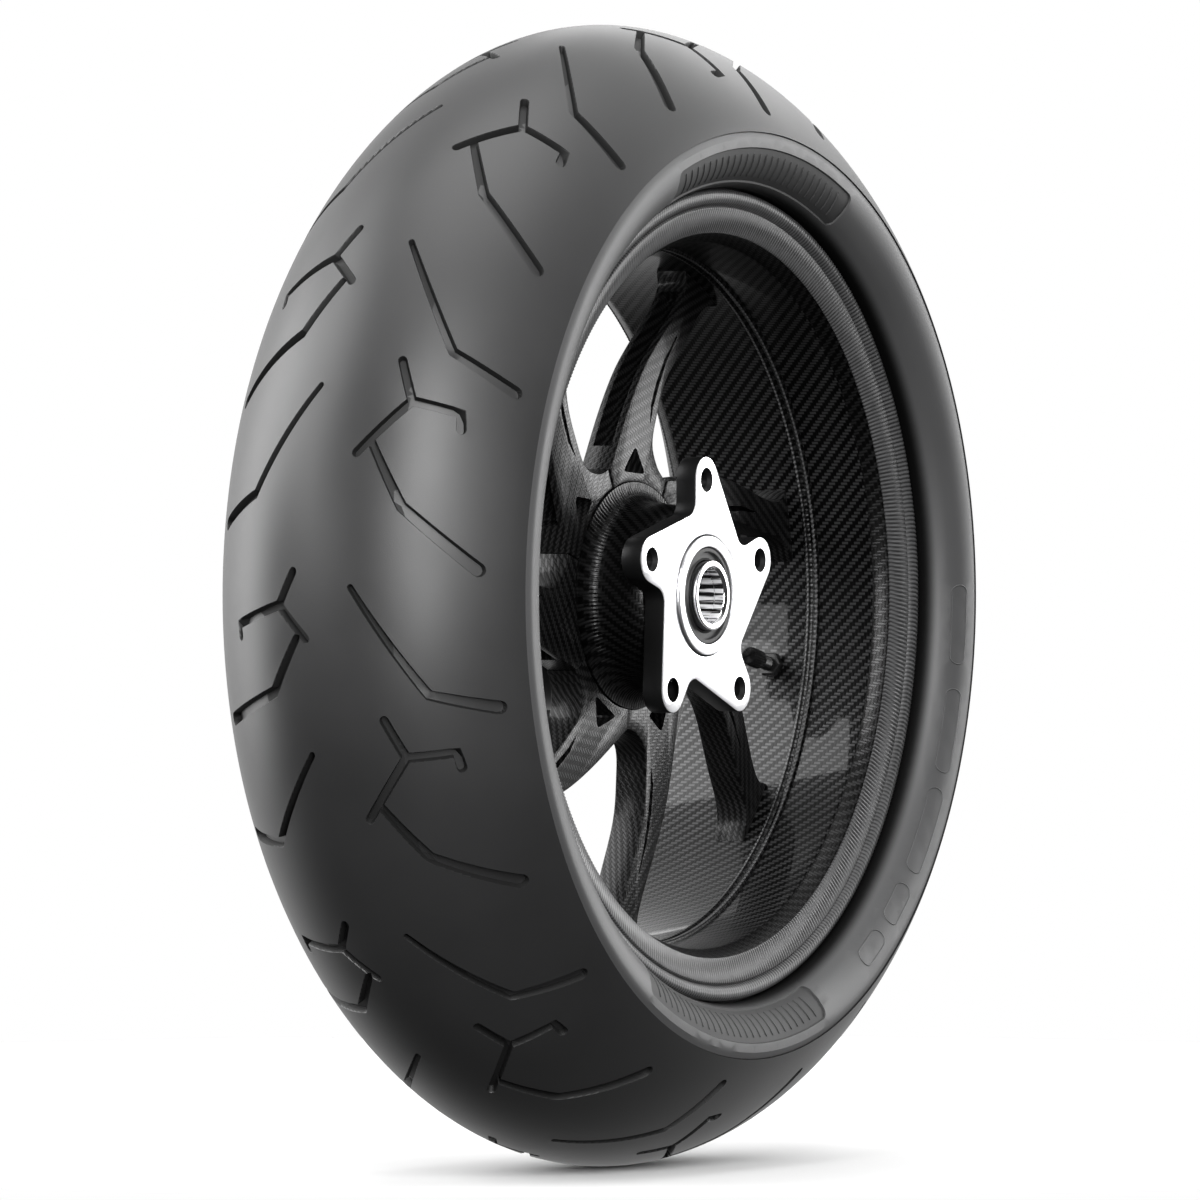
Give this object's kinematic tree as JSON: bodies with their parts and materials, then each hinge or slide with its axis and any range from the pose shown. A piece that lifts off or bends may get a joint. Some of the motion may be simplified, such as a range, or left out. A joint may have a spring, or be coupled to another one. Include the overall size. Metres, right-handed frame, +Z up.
{
  "type": "motorcycle rear wheel with tyre",
  "caption": "Rear motorcycle wheel: a grooved sport tyre on a glossy carbon rim with curved spokes, a star-shaped brake disc carrier, a cushioned sprocket carrier and a valve.",
  "frame": {"origin": "centre of the wheel, on the axle line and on the tyre's mid-plane", "axes": "+Y along the axle towards the sprocket side, with the brake disc side at -Y; +Z up; +X completes the frame"},
  "size_m": [0.654, 0.1968, 0.654],
  "materials": {
    "tread_rubber": "satin",
    "sidewall_rubber": "satin",
    "inner_rubber": "matte",
    "cord_ply": "matte",
    "steel": "polished",
    "carbon": "glossy",
    "bright_aluminium": "satin",
    "dark_alloy": "satin",
    "black_alloy": "satin",
    "seal_rubber": "satin"
  },
  "bodies": {
    "axle_group": {"spacer_tube": "dark_alloy", "carrier_spacer": "dark_alloy", "collar_disc_side": "bright_aluminium", "collar_drive_side": "bright_aluminium", "bearing_disc_side_inner_race": "steel", "bearing_drive_side_inner_race": "steel", "bearing_carrier_inner_race": "steel"},
    "wheel": {"tread_rubber": "tread_rubber", "sidewall_disc_side": "sidewall_rubber", "sidewall_drive_side": "sidewall_rubber", "inner_liner": "inner_rubber", "bead_filler_disc_side": "inner_rubber", "bead_filler_drive_side": "inner_rubber", "bead_chafer_disc_side": "inner_rubber", "bead_chafer_drive_side": "inner_rubber", "carcass_plies": "cord_ply", "steel_belt": "steel", "bead_wire_disc_side": "steel", "bead_wire_drive_side": "steel", "bearing_disc_side_outer_race": "steel", "bearing_drive_side_outer_race": "steel", "rim_barrel": "carbon", "spoke_1": "carbon", "spoke_2": "carbon", "spoke_3": "carbon", "spoke_4": "carbon", "spoke_5": "carbon", "spoke_6": "carbon", "spoke_7": "carbon", "hub_shell": "carbon", "brake_disc_carrier": "bright_aluminium", "hub_sleeve": "bright_aluminium", "cush_drum": "dark_alloy", "valve_stem": "black_alloy", "valve_nut": "black_alloy", "seal_disc_side": "seal_rubber", "valve_seal": "seal_rubber", "cush_rubber_1": "seal_rubber", "cush_rubber_2": "seal_rubber", "cush_rubber_3": "seal_rubber", "cush_rubber_4": "seal_rubber", "cush_rubber_5": "seal_rubber"},
    "sprocket_carrier": {"sprocket_carrier": "dark_alloy", "seal_drive_side": "seal_rubber", "bearing_carrier_outer_race": "steel", "sprocket_stud_1": "steel", "sprocket_stud_2": "steel", "sprocket_stud_3": "steel", "sprocket_stud_4": "steel", "sprocket_stud_5": "steel"},
    "balls_disc_side": {"bearing_disc_side_balls": "steel"},
    "balls_drive_side": {"bearing_drive_side_balls": "steel"},
    "balls_carrier": {"bearing_carrier_balls": "steel"},
    "valve_cap": {"valve_cap": "black_alloy"},
    "valve_pin": {"valve_pin": "steel"}
  },
  "joints": [
    {"name": "wheel_spin", "type": "hinge", "parent": "axle_group", "child": "wheel", "pos_m": [0, 0, 0], "axis": [0, 1, 0], "continuous": true},
    {"name": "balls_disc_side_roll", "type": "hinge", "parent": "axle_group", "child": "balls_disc_side", "pos_m": [0, 0, 0], "axis": [0, 1, 0], "continuous": true},
    {"name": "balls_drive_side_roll", "type": "hinge", "parent": "axle_group", "child": "balls_drive_side", "pos_m": [0, 0, 0], "axis": [0, 1, 0], "continuous": true},
    {"name": "balls_carrier_roll", "type": "hinge", "parent": "axle_group", "child": "balls_carrier", "pos_m": [0, 0, 0], "axis": [0, 1, 0], "continuous": true},
    {"name": "cush_drive", "type": "hinge", "parent": "wheel", "child": "sprocket_carrier", "pos_m": [0, 0, 0], "axis": [0, 1, 0], "range_deg": [-2, 2], "stiffness_Nm_per_rad": 40},
    {"name": "valve_cap_off", "type": "slide", "parent": "wheel", "child": "valve_cap", "axis": [-0.9781, 0, 0.2079], "range_m": [0, 0.014]},
    {"name": "valve_pin_press", "type": "slide", "parent": "wheel", "child": "valve_pin", "axis": [0.9781, 0, -0.2079], "range_m": [0, 0.0015], "stiffness_N_per_m": 300, "springref_m": -0.0005}
  ],
  "couplings": [
    {"joint": "balls_disc_side_roll", "follows": "wheel_spin", "ratio": 0.589},
    {"joint": "balls_drive_side_roll", "follows": "wheel_spin", "ratio": 0.589},
    {"joint": "balls_carrier_roll", "follows": "wheel_spin", "ratio": 0.589}
  ]
}
